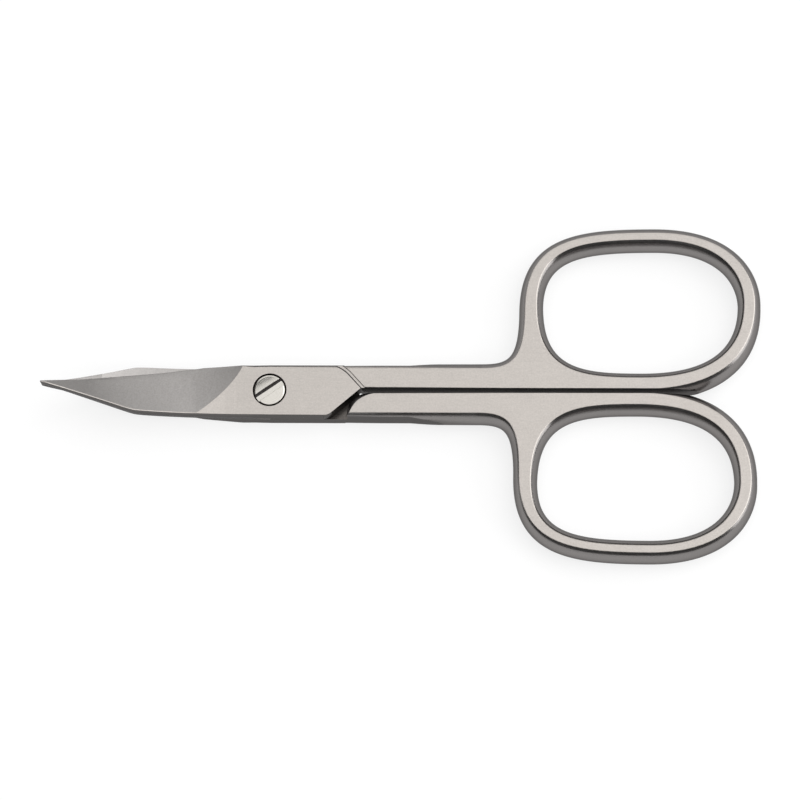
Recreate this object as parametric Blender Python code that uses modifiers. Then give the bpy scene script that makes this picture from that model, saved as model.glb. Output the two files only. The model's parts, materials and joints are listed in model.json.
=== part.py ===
"""Nail scissors: two crossed halves with upswept blades and finger rings, turning on a slotted screw.

Run it with blender --background --python part.py, or from Blender's text editor.
Metres, +Z up. The origin is on the screw's axis, on the surface that the scissors lie on. +X runs from
the screw to the finger rings, +Y towards the front half's ring, and the blades curve up towards +Z.

Each half is modelled in its own frame, with its inner face near z = 0, its outer face at
z = THICKNESS / 2, its ring at +y and its spine at -y. The back half is the same piece turned over.
"""

import math

import bmesh
import bpy
from mathutils import Vector

MM = 0.001

# Stock that both halves are made from
THICKNESS = 4.2 * MM            # shanks and rings, outer face to outer face
BLADE_GAP = 0.1 * MM            # running clearance between the halves' inner faces
SIDE_BULGE = 0.96 * MM          # how far the handles' domed sides stand out past their flats
END_BULGE = 0.73 * MM           # the same at the rings' near and far ends
JOINT_BREAK = 0.06 * MM         # broken edge along the spine
PLATE_BREAK = 0.24 * MM         # broken edge along the joint plate's ring side
EDGE_BREAK = 0.03 * MM          # what is left of it along the cutting edge
BREAK_FADE_START = 2.0 * MM     # where it starts to narrow, from the screw
BREAK_FADE = 2.0 * MM           # length over which it narrows

# Joint plate, the half-thickness lap that carries the screw
PLATE_HALF_WIDTH = 3.25 * MM
PLATE_END = 11.6 * MM           # reach of its pointed end, from the screw
PLATE_HEEL = 7.4 * MM           # where the plate's far corner starts to slope
PLATE_HEEL_ROUND = 1.6 * MM
SHOULDER_START = 9.75 * MM      # where the shank's full thickness starts, clear of the other plate
SHOULDER_ROUND = 2.95 * MM      # rounding of the shoulder into the shank's ground side
SHOULDER_RUN_OUT = 0.02 * MM    # how far past the shank's ground side that rounding ends
GROOVE_WIDTH = 0.5 * MM         # ground groove that marks the joint face off from the shank
GROOVE_DEPTH = 0.15 * MM
GROOVE_BEVEL = 0.18 * MM        # how wide its sloping side is, next to the joint face
GROOVE_WALL_LEAN = 0.03 * MM    # how wide its steep side is, next to the shank
GROOVE_START = 4.0 * MM         # where it starts beside the plate's outer side
GROOVE_BEND = 8.75 * MM         # where it would turn towards the point if it turned sharply
GROOVE_BEND_ROUND = 4.6 * MM
GROOVE_SIDE_OFFSET = 0.27 * MM  # from the plate's outer side to the groove's middle, where it starts

# Blade
BLADE_LENGTH = 28.4 * MM        # screw to tip, measured flat
BLADE_RADIUS = 60.0 * MM        # radius that the blade curves up with
CURVE_START = 4.0 * MM          # where that curve starts, beyond the screw
GRIND_START = 3.5 * MM          # where the ground face starts on the cutting side
GRIND_END = 9.0 * MM            # where it reaches the spine
GRIND_ARC_ALONG = 0.29          # pull of the arc between the two, as a share of its length
GRIND_ARC_ACROSS = -0.1 * MM    # level that the arc is pulled to, from the middle line
GRIND_LEVELLING = 0.3 * MM      # length over which the arc levels out beyond the spine
GRIND_FULL = 15.0 * MM          # where the cutting edge is ground to its full thinness
GRIND_STEEPEST = 0.7            # most that the ground face falls, per unit across the blade
GRIND_HOLLOW = 0.05 * MM        # how far the ground face is hollowed
SPINE_CORNER = 17.0 * MM        # where the spine turns in towards the tip
SPINE_AT_CORNER = 3.14 * MM     # the spine's distance from the middle line there
SPINE_CORNER_SOFTNESS = 0.18 * MM
SPINE_HOLLOW = 0.09 * MM        # how far the spine bows in between that corner and the tip
SPINE_LAND = 0.1 * MM           # narrow flat left along the spine
EDGE_START = 8.5 * MM           # where the cutting edge starts to fall in
EDGE_AT_START = 3.08 * MM       # the cutting edge's distance from the middle line there
EDGE_BELLY = 0.17 * MM          # how far the cutting edge bows out from straight
EDGE_THICKNESS = 0.2 * MM
LAND_SHARE = 0.2                # most of the blade's width that a land or broken edge may take
TIP_HALF_WIDTH = 0.06 * MM
TIP_THICKNESS = 1.0 * MM
SPINE_TAPER_POWER = 1.5         # how late the spine thins towards the tip
BLADE_STEP = 0.7 * MM           # spacing of the blade's sections

# Shank
SHANK_INNER = 0.39 * MM         # flat's edge beside the other shank, from the middle line
SHANK_GAP = 0.6 * MM            # gap between the two shanks' ground sides
SHANK_OUTER = 2.92 * MM         # flat's outer edge, from the middle line
SHANK_SIDE = 3.32 * MM          # ground outer side, from the middle line
SHANK_START = 9.3 * MM          # where the shank's rounded outer side starts
SIDE_BLEND = 4.5 * MM           # length over which the ground side runs out at each end
WEB_START = 26.5 * MM           # where the shank's outer edge leaves for the ring

# Finger ring: the edges of its flat, as the furthest points of two ovals
RING_HOLE_LEFT = 33.35 * MM
RING_HOLE_LENGTH = 25.85 * MM
RING_HOLE_NEAR = 1.75 * MM
RING_HOLE_WIDTH = 17.95 * MM
RING_CENTRE_LINE = 11.4 * MM    # level of the ring's left and right furthest points
RING_FLAT_LEFT = 1.55 * MM
RING_FLAT_FAR = 0.98 * MM
RING_FLAT_RIGHT = 1.4 * MM
RING_FLAT_NEAR = 1.54 * MM
RING_CREST = 14.7 * MM          # the ovals' far point, from the hole's left end
RING_FOOT = 13.2 * MM           # the ovals' near point, from the hole's left end
WEB_END = 0.9 * MM              # where the web meets the ring's left side, below its centre line

# How full each quarter of the ovals is at its side and at its crest or foot: 0.55 for a circle
HOLE_FAR_LEFT = (0.92, 0.62)
HOLE_FAR_RIGHT = (0.49, 0.74)
HOLE_NEAR_RIGHT = (0.73, 0.60)
HOLE_NEAR_LEFT = (0.98, 0.54)
RING_FAR_LEFT = (0.92, 0.59)
RING_FAR_RIGHT = (0.42, 0.78)
RING_NEAR_RIGHT = (0.63, 0.65)
RING_NEAR_LEFT = 0.25           # the foot only: it runs on into the shank
WEB_FULLNESS = (0.70, 0.88)     # of the fillet from shank to ring, at the shank and at the ring

BACK_RING_SETBACK = 0.5 * MM   # the back half's ring sits this much nearer the screw

# Screw
SCREW_HEAD_RADIUS = 1.95 * MM
SCREW_HEAD_HEIGHT = 0.9 * MM
SCREW_DOME = 0.22 * MM
SCREW_SHAFT_RADIUS = 1.2 * MM
SCREW_END_BREAK = 0.12 * MM
SCREW_HEAD_CLEARANCE = 0.17 * MM    # round the head, in its recess
SCREW_RUNNING_CLEARANCE = 0.05 * MM
SLOT_WIDTH = 1.0 * MM
SLOT_DEPTH = 0.5 * MM
SLOT_ANGLE = 35.0               # degrees, rising towards the front half's ring

# Smoothness of the curves
OVAL_STEPS = 16
DOME_STEPS = 6
SCREW_STEPS = 48

MID = THICKNESS / 2
LAP_FACE = BLADE_GAP / 2
OVERCUT = 2.0 * MM              # how far a cutter runs past what it cuts

STEEL = (0.60, 0.575, 0.545, 1.0)
SCREW_STEEL = (0.56, 0.54, 0.50, 1.0)


def clear_scene():
    for item in list(bpy.data.objects):
        bpy.data.objects.remove(item, do_unlink=True)


def make_collection(name):
    collection = bpy.data.collections.new(name)
    bpy.context.scene.collection.children.link(collection)
    return collection


def make_material(name, colour, roughness, metallic):
    material = bpy.data.materials.new(name)
    material.use_nodes = True
    shader = material.node_tree.nodes["Principled BSDF"]
    shader.inputs["Base Color"].default_value = colour
    shader.inputs["Roughness"].default_value = roughness
    shader.inputs["Metallic"].default_value = metallic
    material.diffuse_color = colour
    return material


def add_object(name, mesh, collection):
    item = bpy.data.objects.new(name, mesh)
    collection.objects.link(item)
    return item


def make_guide(item):
    item.hide_render = True
    item.display_type = "WIRE"


def shade(mesh):
    mesh.shade_smooth()
    mesh.set_sharp_from_angle(angle=math.radians(30))


def combine(target, other, operation):
    modifier = target.modifiers.new(f"{operation.lower()} {other.name}", "BOOLEAN")
    modifier.operation = operation
    modifier.object = other
    modifier.solver = "EXACT"


def flat_solid(name, points, half_depth, collection):
    """A flat outline made solid: a 2D curve, extruded both ways, then turned into a mesh."""
    curve = bpy.data.curves.new(name, "CURVE")
    curve.dimensions = "2D"
    curve.fill_mode = "BOTH"
    curve.extrude = half_depth
    spline = curve.splines.new("POLY")
    spline.points.add(len(points) - 1)
    for spline_point, (x, y) in zip(spline.points, points):
        spline_point.co = (x, y, 0.0, 1.0)
    spline.use_cyclic_u = True
    return mesh_from_curve(name, curve, collection)


def mesh_from_curve(name, curve, collection):
    """Turn a curve into a welded mesh object of the same name and place."""
    drawn = add_object(f"{name}_line", curve, collection)
    bpy.context.view_layer.update()
    evaluated = drawn.evaluated_get(bpy.context.evaluated_depsgraph_get())
    mesh = bpy.data.meshes.new_from_object(evaluated)
    mesh.name = name
    weld(mesh)
    solid = add_object(name, mesh, collection)
    solid.matrix_world = drawn.matrix_world
    bpy.data.objects.remove(drawn, do_unlink=True)
    bpy.data.curves.remove(curve)
    return solid


def weld(mesh):
    shape = bmesh.new()
    shape.from_mesh(mesh)
    bmesh.ops.remove_doubles(shape, verts=shape.verts, dist=0.001 * MM)
    bmesh.ops.recalc_face_normals(shape, faces=shape.faces)
    shape.to_mesh(mesh)
    shape.free()


def corner_points(before, corner, after, radius, steps=6):
    """Points of the arc that rounds a corner between two straight runs."""
    to_before = math.atan2(before[1] - corner[1], before[0] - corner[0])
    to_after = math.atan2(after[1] - corner[1], after[0] - corner[0])
    half_angle = abs((to_after - to_before + math.pi) % (2 * math.pi) - math.pi) / 2
    reach = radius / math.tan(half_angle)
    start = (corner[0] + reach * math.cos(to_before), corner[1] + reach * math.sin(to_before))
    end = (corner[0] + reach * math.cos(to_after), corner[1] + reach * math.sin(to_after))
    points = []
    for step in range(steps + 1):
        t = step / steps
        blend = ((1 - t) ** 2, 2 * t * (1 - t), t ** 2)
        points.append(tuple(blend[0] * start[axis] + blend[1] * corner[axis] + blend[2] * end[axis]
                            for axis in (0, 1)))
    return points


def extruded_cutter(name, points, low, high, collection):
    """A cutter of straight runs between the points, from one height to another."""
    depth = (high - low) / 2
    solid = flat_solid(name, points, depth, collection)
    for vertex in solid.data.vertices:
        vertex.co.z += low + depth
    make_guide(solid)
    return solid


def round_cutter(name, radius, low, high, collection):
    shape = bmesh.new()
    bmesh.ops.create_cone(shape, cap_ends=True, segments=SCREW_STEPS, radius1=radius, radius2=radius,
                          depth=high - low)
    bmesh.ops.translate(shape, verts=shape.verts, vec=(0, 0, (low + high) / 2))
    mesh = bpy.data.meshes.new(name)
    shape.to_mesh(mesh)
    shape.free()
    cutter = add_object(name, mesh, collection)
    make_guide(cutter)
    return cutter


def handle_outline(setback):
    """The flat's edge round the shank and ring, and the ring's hole."""
    left = RING_HOLE_LEFT - setback
    right = left + RING_HOLE_LENGTH
    far = RING_HOLE_NEAR + RING_HOLE_WIDTH
    near = RING_HOLE_NEAR
    crest = left + RING_CREST
    foot = left + RING_FOOT
    level = RING_CENTRE_LINE
    hole = [
        ((left, level),
         (left, level - HOLE_NEAR_LEFT[0] * (level - near)),
         (left, level + HOLE_FAR_LEFT[0] * (far - level))),
        ((crest, far),
         (crest - HOLE_FAR_LEFT[1] * (crest - left), far),
         (crest + HOLE_FAR_RIGHT[1] * (right - crest), far)),
        ((right, level),
         (right, level + HOLE_FAR_RIGHT[0] * (far - level)),
         (right, level - HOLE_NEAR_RIGHT[0] * (level - near))),
        ((foot, near),
         (foot + HOLE_NEAR_RIGHT[1] * (right - foot), near),
         (foot - HOLE_NEAR_LEFT[1] * (foot - left), near)),
    ]
    left -= RING_FLAT_LEFT
    right += RING_FLAT_RIGHT
    far += RING_FLAT_FAR
    near -= RING_FLAT_NEAR
    web_start = WEB_START - setback
    web_end = level - WEB_END
    outside = [
        ((SHANK_START, SHANK_INNER), (SHANK_START, SHANK_INNER), (SHANK_START, SHANK_INNER)),
        ((SHANK_START, SHANK_OUTER), (SHANK_START, SHANK_OUTER), (SHANK_START, SHANK_OUTER)),
        ((web_start, SHANK_OUTER),
         (web_start, SHANK_OUTER),
         (web_start + WEB_FULLNESS[0] * (left - web_start), SHANK_OUTER)),
        ((left, web_end),
         (left, web_end - WEB_FULLNESS[1] * (web_end - SHANK_OUTER)),
         (left, level + RING_FAR_LEFT[0] * (far - level))),
        ((crest, far),
         (crest - RING_FAR_LEFT[1] * (crest - left), far),
         (crest + RING_FAR_RIGHT[1] * (right - crest), far)),
        ((right, level),
         (right, level + RING_FAR_RIGHT[0] * (far - level)),
         (right, level - RING_NEAR_RIGHT[0] * (level - near))),
        ((foot, near),
         (foot + RING_NEAR_RIGHT[1] * (right - foot), near),
         (foot - RING_NEAR_LEFT * (foot - left), near)),
    ]
    return outside, hole


def run_along(knots):
    """Points along a closed line of Bezier knots, each (point, handle before it, handle after it)."""
    points = []
    for (start, _, leave), (end, arrive, _) in zip(knots, knots[1:] + knots[:1]):
        straight = start == leave and end == arrive
        for step in range(1 if straight else OVAL_STEPS):
            t = step / OVAL_STEPS
            blend = ((1 - t) ** 3, 3 * t * (1 - t) ** 2, 3 * t ** 2 * (1 - t), t ** 3)
            points.append(tuple(blend[0] * start[axis] + blend[1] * leave[axis] + blend[2] * arrive[axis]
                                + blend[3] * end[axis] for axis in (0, 1)))
    return points


def bulge_moves(points):
    """How far and which way each point moves where the side bulges most, to the left of the line's run."""
    moves = []
    for before, here, after in zip(points[-1:] + points[:-1], points, points[1:] + points[:1]):
        into = Vector(here) - Vector(before)
        out_of = Vector(after) - Vector(here)
        normal_in = Vector((-into.y, into.x)).normalized()
        normal_out = Vector((-out_of.y, out_of.x)).normalized()
        mitre = (normal_in + normal_out).normalized()
        reach = END_BULGE + (SIDE_BULGE - END_BULGE) * abs(mitre.y)
        moves.append(mitre * reach / mitre.dot(normal_in))
    return moves


def dome_handle(name, outside, hole, collection):
    """Loft the handle between its two flats through sides that bulge in an arc."""
    shape = bmesh.new()
    rims = []
    for points in (run_along(outside), run_along(hole)[::-1]):
        moves = bulge_moves(points)
        loops = []
        for step in range(DOME_STEPS + 1):
            level = 2 * step / DOME_STEPS - 1
            out = 1 - level ** 2
            loops.append([shape.verts.new((x + out * move.x, y + out * move.y, level * MID))
                          for (x, y), move in zip(points, moves)])
        for low, high in zip(loops, loops[1:]):
            for index in range(len(points)):
                after = (index + 1) % len(points)
                shape.faces.new((low[index], low[after], high[after], high[index]))
        rims.append((loops[0], loops[-1]))
    for side in (0, 1):
        edges = []
        for rim in rims:
            loop = rim[side]
            edges += [shape.edges.get((loop[index - 1], loop[index])) for index in range(len(loop))]
        bmesh.ops.triangle_fill(shape, edges=edges, use_beauty=True, use_dissolve=False)
    bmesh.ops.recalc_face_normals(shape, faces=shape.faces)
    mesh = bpy.data.meshes.new(name)
    shape.to_mesh(mesh)
    shape.free()
    return add_object(name, mesh, collection)


def spine_line(along):
    """The spine's distance from the middle line, at a distance from the screw towards the tip."""
    to_corner = PLATE_HALF_WIDTH - (PLATE_HALF_WIDTH - SPINE_AT_CORNER) * along / SPINE_CORNER
    taper = (SPINE_AT_CORNER - TIP_HALF_WIDTH) / (BLADE_LENGTH - SPINE_CORNER)
    t = (along - SPINE_CORNER) / (BLADE_LENGTH - SPINE_CORNER)
    to_tip = TIP_HALF_WIDTH + taper * (BLADE_LENGTH - along) - 4 * SPINE_HOLLOW * t * (1 - t)
    # A soft minimum rounds the corner between the two straight runs
    apart = to_corner - to_tip
    return (to_corner + to_tip - math.sqrt(apart ** 2 + SPINE_CORNER_SOFTNESS ** 2)) / 2


def edge_line(along):
    """The cutting edge's distance from the middle line."""
    if along <= EDGE_START:
        return PLATE_HALF_WIDTH - (PLATE_HALF_WIDTH - EDGE_AT_START) * max(along, 0.0) / EDGE_START
    t = (along - EDGE_START) / (BLADE_LENGTH - EDGE_START)
    return EDGE_AT_START * (1 - t) + TIP_HALF_WIDTH * t + 4 * EDGE_BELLY * t * (1 - t)


def land_edge(along):
    """Where the narrow flat along the spine ends, from the middle line."""
    spine = spine_line(along)
    return min(JOINT_BREAK + SPINE_LAND, 2 * LAND_SHARE * (spine + edge_line(along))) - spine


def grind_line(along):
    """Where the ground face rises to the outer flat's level: an arc to the spine, then just outside it."""
    start = (GRIND_START, PLATE_HALF_WIDTH - PLATE_BREAK - SPINE_LAND)
    end = (GRIND_END, land_edge(GRIND_END))
    pull = (GRIND_START + GRIND_ARC_ALONG * (GRIND_END - GRIND_START), GRIND_ARC_ACROSS)
    if along <= GRIND_START:
        return start[1]
    if along >= GRIND_END:
        steepness = (pull[1] - end[1]) / (end[0] - pull[0])
        levelled = 1 - math.exp((GRIND_END - along) / GRIND_LEVELLING)
        return land_edge(along) - steepness * GRIND_LEVELLING * levelled
    # The arc is a quadratic Bezier, solved for its parameter at this distance
    a = start[0] - 2 * pull[0] + end[0]
    b = 2 * (pull[0] - start[0])
    c = start[0] - along
    t = (-b + math.sqrt(b * b - 4 * a * c)) / (2 * a)
    return start[1] * (1 - t) ** 2 + 2 * pull[1] * t * (1 - t) + end[1] * t ** 2


def spine_height(along):
    """The blade's thickness at the spine."""
    full = MID - LAP_FACE
    taper = max(0.0, (along - SPINE_CORNER) / (BLADE_LENGTH - SPINE_CORNER))
    return full - (full - TIP_THICKNESS) * taper ** SPINE_TAPER_POWER


def ground_share(along):
    """How far the grinding has thinned the cutting edge, from nothing to 1."""
    t = min(1.0, max(0.0, (along - GRIND_START) / (GRIND_FULL - GRIND_START)))
    return t * (3 - t ** 2) / 2


def edge_break(along):
    """The broken edge on the plate's ring side, narrowing to the cutting edge's."""
    faded = min(1.0, max(0.0, (along - BREAK_FADE_START) / BREAK_FADE))
    return PLATE_BREAK + (EDGE_BREAK - PLATE_BREAK) * faded


def blade_section(along):
    """One section across the blade, as (y, z) points from the spine's inner corner round to the edge's."""
    spine = spine_line(along)
    edge = edge_line(along)
    widest_land = LAND_SHARE * (spine + edge)
    spine_break = min(JOINT_BREAK, widest_land)
    far_break = min(edge_break(along), widest_land)
    outer = LAP_FACE + spine_height(along)
    line = grind_line(along)
    ground_from = max(line, land_edge(along))
    ground_to = edge - far_break
    steel_to_grind = outer - LAP_FACE - EDGE_THICKNESS
    slope = min(GRIND_STEEPEST, ground_share(along) * steel_to_grind / (ground_to - line))
    top = outer - slope * (ground_from - line)
    across = ground_to - ground_from
    points = [(-spine, LAP_FACE), (-spine, top - spine_break), (-spine + spine_break, top), (ground_from, top)]
    for share in (0.25, 0.5, 0.75):
        sag = GRIND_HOLLOW * ground_share(along) * 4 * share * (1 - share) * across / (2 * PLATE_HALF_WIDTH)
        points.append((ground_from + share * across, top - share * slope * across - sag))
    edge_height = top - slope * across
    points += [(ground_to, edge_height), (edge, edge_height - far_break), (edge, LAP_FACE)]
    return points


def blade_stations():
    """Distances from the screw at which the blade is sectioned, from the plate's end to the tip."""
    start = BREAK_FADE_START
    stations = [-PLATE_END - OVERCUT, 0.0]
    count = math.ceil((BLADE_LENGTH - start) / BLADE_STEP)
    for step in range(count + 1):
        stations.append(start + (BLADE_LENGTH - start) * step / count)
    return stations


def rise(along, way_up):
    """How far the blade has curved up."""
    return way_up * max(0.0, along - CURVE_START) ** 2 / (2 * BLADE_RADIUS)


def loft_blade(name, way_up, collection):
    """The joint plate and blade, lofted through their sections."""
    shape = bmesh.new()
    loops = []
    for along in blade_stations():
        lift = rise(along, way_up)
        loops.append([shape.verts.new((-along, y, z + lift)) for y, z in blade_section(along)])
    for near, far in zip(loops, loops[1:]):
        for index in range(len(near)):
            after = (index + 1) % len(near)
            shape.faces.new((near[index], near[after], far[after], far[index]))
    shape.faces.new(loops[0])
    shape.faces.new(reversed(loops[-1]))
    bmesh.ops.recalc_face_normals(shape, faces=shape.faces)
    mesh = bpy.data.meshes.new(name)
    shape.to_mesh(mesh)
    shape.free()
    blade = add_object(name, mesh, collection)
    make_guide(blade)
    return blade


def plate_end_line():
    """The plate's pointed end, from its heel to its point and back beside the shank."""
    heel = (PLATE_HEEL, -PLATE_HALF_WIDTH)
    point = (PLATE_END, SHANK_INNER)
    before = (0.0, -PLATE_HALF_WIDTH)
    return corner_points(before, heel, point, PLATE_HEEL_ROUND) + [point]


def groove_line():
    """The middle of the ground groove: it leaves the plate's outer side in a curve and runs to the point."""
    beside = PLATE_HALF_WIDTH + GROOVE_SIDE_OFFSET
    along_side = (GROOVE_START, beside)
    bend = (GROOVE_BEND, beside)
    end = (PLATE_END, SHANK_INNER)
    run_out = (end[0] + OVERCUT, end[1] + OVERCUT * (end[1] - bend[1]) / (end[0] - bend[0]))
    return [along_side] + corner_points(along_side, bend, end, GROOVE_BEND_ROUND) + [run_out]


def cut_plate_end(blade, name, collection):
    """Trim the plate to its pointed end."""
    points = plate_end_line() + [(SHANK_START, SHANK_OUTER), (SHANK_START, PLATE_HALF_WIDTH + OVERCUT)]
    past = PLATE_END + 2 * OVERCUT
    points += [(past, PLATE_HALF_WIDTH + OVERCUT), (past, -PLATE_HALF_WIDTH - OVERCUT),
               (points[0][0], -PLATE_HALF_WIDTH - OVERCUT)]
    combine(blade, extruded_cutter(name, points, -MID, MID + OVERCUT, collection), "DIFFERENCE")


def shoulder_line():
    """Where the shank's full thickness starts, from the outer side round to the shank's ground side."""
    level = SHANK_GAP / 2 - SHOULDER_RUN_OUT
    outer_side = (SHOULDER_START, PLATE_HALF_WIDTH + OVERCUT)
    beside_shank = (SHOULDER_START + PLATE_END, level)
    corner = (SHOULDER_START, level)
    return [outer_side] + corner_points(outer_side, corner, beside_shank, SHOULDER_ROUND) + [beside_shank]


def cut_lap(half, name, collection):
    """Take the lower layer away, up to the shoulder, for the other half's plate."""
    line = shoulder_line()
    below = -PLATE_HALF_WIDTH
    points = [(0.0, line[0][1])] + line + [(line[-1][0], below), (0.0, below)]
    combine(half, extruded_cutter(name, points, -MID - OVERCUT, LAP_FACE, collection), "DIFFERENCE")


def cut_shank_side(half, name, collection):
    """Grind the shank and ring flat on the side that faces the other shank."""
    reach = RING_HOLE_LEFT + RING_HOLE_LENGTH
    level = SHANK_GAP / 2
    points = [(0.0, level), (reach, level), (reach, level - 2 * OVERCUT), (0.0, level - 2 * OVERCUT)]
    combine(half, extruded_cutter(name, points, -MID - OVERCUT, MID + OVERCUT, collection), "DIFFERENCE")


def cut_outer_side(half, name, collection):
    """Grind the shank's outer side flat, level with the plate's at first, running out before the ring."""
    steep = SIDE_BULGE - (SHANK_SIDE - SHANK_OUTER)
    points = [
        (SHANK_START - OVERCUT, PLATE_HALF_WIDTH),
        (SHANK_START, PLATE_HALF_WIDTH),
        (SHANK_START + SIDE_BLEND, SHANK_SIDE),
        (WEB_START - 2 * SIDE_BLEND, SHANK_SIDE),
        (WEB_START, SHANK_SIDE + 2 * steep),
        (WEB_START, PLATE_HALF_WIDTH + 2 * OVERCUT),
        (SHANK_START - OVERCUT, PLATE_HALF_WIDTH + 2 * OVERCUT),
    ]
    combine(half, extruded_cutter(name, points, -MID - OVERCUT, MID + OVERCUT, collection), "DIFFERENCE")


def cut_groove(half, name, collection):
    """Grind the shallow groove between joint face and shank: a bevel, a flat floor and a steep side."""
    left = -GROOVE_WIDTH / 2
    right = GROOVE_WIDTH / 2
    floor = MID - GROOVE_DEPTH
    above = MID + GROOVE_DEPTH
    profile = [(left - GROOVE_BEVEL, above), (left + GROOVE_BEVEL, floor),
               (right - GROOVE_WALL_LEAN, floor), (right + GROOVE_WALL_LEAN, above)]
    line = groove_line()
    shape = bmesh.new()
    loops = []
    for before, here, after in zip(line[:1] + line[:-1], line, line[1:] + line[-1:]):
        run = (Vector(after) - Vector(before)).normalized()
        loops.append([shape.verts.new((here[0] - run.y * offset, here[1] + run.x * offset, height))
                      for offset, height in profile])
    for near, far in zip(loops, loops[1:]):
        for index in range(len(profile)):
            after = (index + 1) % len(profile)
            shape.faces.new((near[index], near[after], far[after], far[index]))
    shape.faces.new(loops[0])
    shape.faces.new(reversed(loops[-1]))
    bmesh.ops.recalc_face_normals(shape, faces=shape.faces)
    mesh = bpy.data.meshes.new(name)
    shape.to_mesh(mesh)
    shape.free()
    cutter = add_object(name, mesh, collection)
    make_guide(cutter)
    combine(half, cutter, "DIFFERENCE")


def make_half(name, way_up, setback, head_recess, parts, cutters):
    """One half in its own frame: handle, joint plate and blade joined, then grooved and bored."""
    half = dome_handle(name, *handle_outline(setback), parts)
    blade = loft_blade(f"{name}_blade", way_up, cutters)
    cut_plate_end(blade, f"{name}_plate_end", cutters)
    cut_lap(half, f"{name}_lap", cutters)
    cut_shank_side(half, f"{name}_shank_side", cutters)
    cut_outer_side(half, f"{name}_outer_side", cutters)
    combine(half, blade, "UNION")
    cut_groove(half, f"{name}_groove", cutters)
    bore = SCREW_SHAFT_RADIUS + SCREW_RUNNING_CLEARANCE
    combine(half, round_cutter(f"{name}_bore", bore, -MID, MID + OVERCUT, cutters), "DIFFERENCE")
    if head_recess:
        recess = SCREW_HEAD_RADIUS + SCREW_HEAD_CLEARANCE
        floor = MID - SCREW_HEAD_HEIGHT - SCREW_RUNNING_CLEARANCE
        combine(half, round_cutter(f"{name}_recess", recess, floor, MID + OVERCUT, cutters), "DIFFERENCE")
    shade(half.data)
    for item in cutters.objects:
        if item.name.startswith(name):
            item.parent = half
    return half


def make_screw(name, parts, cutters):
    """The pivot screw, turned from its profile, with its slot milled."""
    top = THICKNESS
    under_head = THICKNESS - SCREW_HEAD_HEIGHT
    domed = SCREW_HEAD_RADIUS - SCREW_DOME
    shares = [step / DOME_STEPS for step in range(DOME_STEPS + 1)]
    profile = [(share * domed, top + SCREW_DOME * (1 - share ** 2)) for share in shares]
    profile += [
        (SCREW_HEAD_RADIUS, top - SCREW_DOME),
        (SCREW_HEAD_RADIUS, under_head),
        (SCREW_SHAFT_RADIUS, under_head),
        (SCREW_SHAFT_RADIUS, SCREW_END_BREAK),
        (SCREW_SHAFT_RADIUS - SCREW_END_BREAK, 0.0),
        (0.0, 0.0),
    ]
    mesh = bpy.data.meshes.new(name)
    points = [(radius, 0.0, height) for radius, height in profile]
    mesh.from_pydata(points, [(index, index + 1) for index in range(len(points) - 1)], [])
    screw = add_object(name, mesh, parts)
    turn = screw.modifiers.new("turn", "SCREW")
    turn.steps = SCREW_STEPS
    turn.render_steps = SCREW_STEPS
    turn.use_merge_vertices = True
    turn.merge_threshold = 0.001 * MM
    turn.use_smooth_shade = True
    bpy.ops.mesh.primitive_cube_add(size=1.0)
    slot = bpy.context.object
    slot.name = f"{name}_slot"
    for collection in list(slot.users_collection):
        collection.objects.unlink(slot)
    cutters.objects.link(slot)
    slot.scale = (2 * (SCREW_HEAD_RADIUS + OVERCUT), SLOT_WIDTH, 2 * SLOT_DEPTH)
    slot.location = (0.0, 0.0, top + SCREW_DOME / 2)
    slot.rotation_euler = (0.0, 0.0, math.radians(SLOT_ANGLE))
    make_guide(slot)
    combine(screw, slot, "DIFFERENCE")
    return screw


def main():
    clear_scene()
    parts = make_collection("nail_scissors")
    cutters = make_collection("cutters")
    steel = make_material("satin_steel", STEEL, 0.32, 1.0)
    screw_steel = make_material("screw_steel", SCREW_STEEL, 0.28, 1.0)

    front = make_half("front_half", 1, 0.0, True, parts, cutters)
    front.location = (0.0, 0.0, MID)
    front.data.materials.append(steel)

    back = make_half("back_half", -1, BACK_RING_SETBACK, False, parts, cutters)
    back.location = (0.0, 0.0, MID)
    back.rotation_euler = (math.pi, 0.0, 0.0)
    back.data.materials.append(steel)

    screw = make_screw("pivot_screw", parts, cutters)
    screw.data.materials.append(screw_steel)
    bpy.context.view_layer.update()


main()
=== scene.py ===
"""Nail scissors: two crossed halves with upswept blades and oval finger rings, on a slotted screw.

Laid out as a Blender add-on and run as a script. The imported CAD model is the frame: each piece here
stands for one of its nodes, at the same place and size, with finer shapes and finished steel.
Metres, +Z up. The origin is on the screw's axis, on the table. +X runs to the finger rings.
"""

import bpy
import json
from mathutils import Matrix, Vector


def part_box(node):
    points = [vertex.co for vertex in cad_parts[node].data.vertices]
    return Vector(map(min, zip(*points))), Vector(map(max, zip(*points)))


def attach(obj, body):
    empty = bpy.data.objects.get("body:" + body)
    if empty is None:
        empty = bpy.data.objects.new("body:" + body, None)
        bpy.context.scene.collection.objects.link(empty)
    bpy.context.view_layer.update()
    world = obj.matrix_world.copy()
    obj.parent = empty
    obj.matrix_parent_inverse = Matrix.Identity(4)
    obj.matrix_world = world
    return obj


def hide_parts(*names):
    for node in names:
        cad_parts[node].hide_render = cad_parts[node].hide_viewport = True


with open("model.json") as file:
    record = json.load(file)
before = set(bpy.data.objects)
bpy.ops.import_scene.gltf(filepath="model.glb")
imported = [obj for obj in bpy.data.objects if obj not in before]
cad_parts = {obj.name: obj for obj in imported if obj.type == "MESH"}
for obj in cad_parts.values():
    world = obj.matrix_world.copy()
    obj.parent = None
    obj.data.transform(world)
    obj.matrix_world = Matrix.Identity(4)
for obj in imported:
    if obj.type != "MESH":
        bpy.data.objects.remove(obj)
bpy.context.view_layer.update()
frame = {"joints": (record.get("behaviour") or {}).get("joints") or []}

import json
import math

import bmesh
import bpy
from mathutils import Matrix, Vector

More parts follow.
